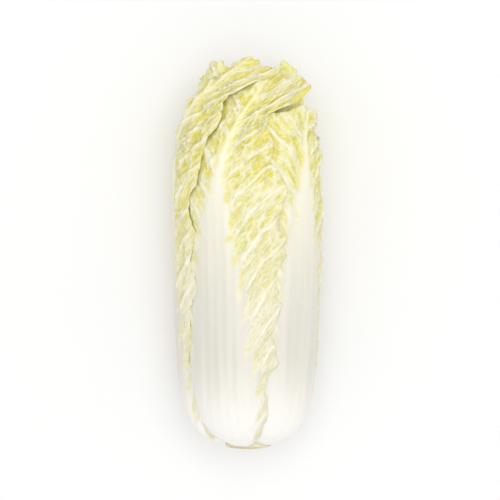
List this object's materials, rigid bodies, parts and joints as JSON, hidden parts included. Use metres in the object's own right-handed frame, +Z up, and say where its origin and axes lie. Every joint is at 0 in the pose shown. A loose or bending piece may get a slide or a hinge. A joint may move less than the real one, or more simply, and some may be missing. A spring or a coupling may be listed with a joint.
{
  "type": "napa cabbage",
  "caption": "Whole head of napa cabbage lying on its side, a cut stem with its heart inside whorls of ribbed, waved leaves.",
  "frame": {"origin": "on the surface the head lies on, under the middle of its box", "axes": "+Y along the head from its cut stem to its leaf tips, +Z up, +X to the right seen from above with the tips pointing away"},
  "size_m": [0.1087, 0.2817, 0.1054],
  "materials": {
    "stem": "moist cut stem",
    "outer_leaves": "satin white rib, pale yellow crinkled blade",
    "second_leaves": "satin pale yellow leaf",
    "inner_leaves": "satin yellow leaf"
  },
  "bodies": {
    "root": {"stem_and_heart": "stem", "outer_leaf_1": "outer_leaves", "outer_leaf_2": "outer_leaves", "outer_leaf_3": "outer_leaves", "outer_leaf_4": "outer_leaves", "outer_leaf_5": "outer_leaves", "second_leaf_1": "second_leaves", "second_leaf_2": "second_leaves", "second_leaf_3": "second_leaves", "second_leaf_4": "second_leaves", "second_leaf_5": "second_leaves", "inner_leaf_1": "inner_leaves", "inner_leaf_2": "inner_leaves", "inner_leaf_3": "inner_leaves", "inner_leaf_4": "inner_leaves"}
  },
  "joints": []
}
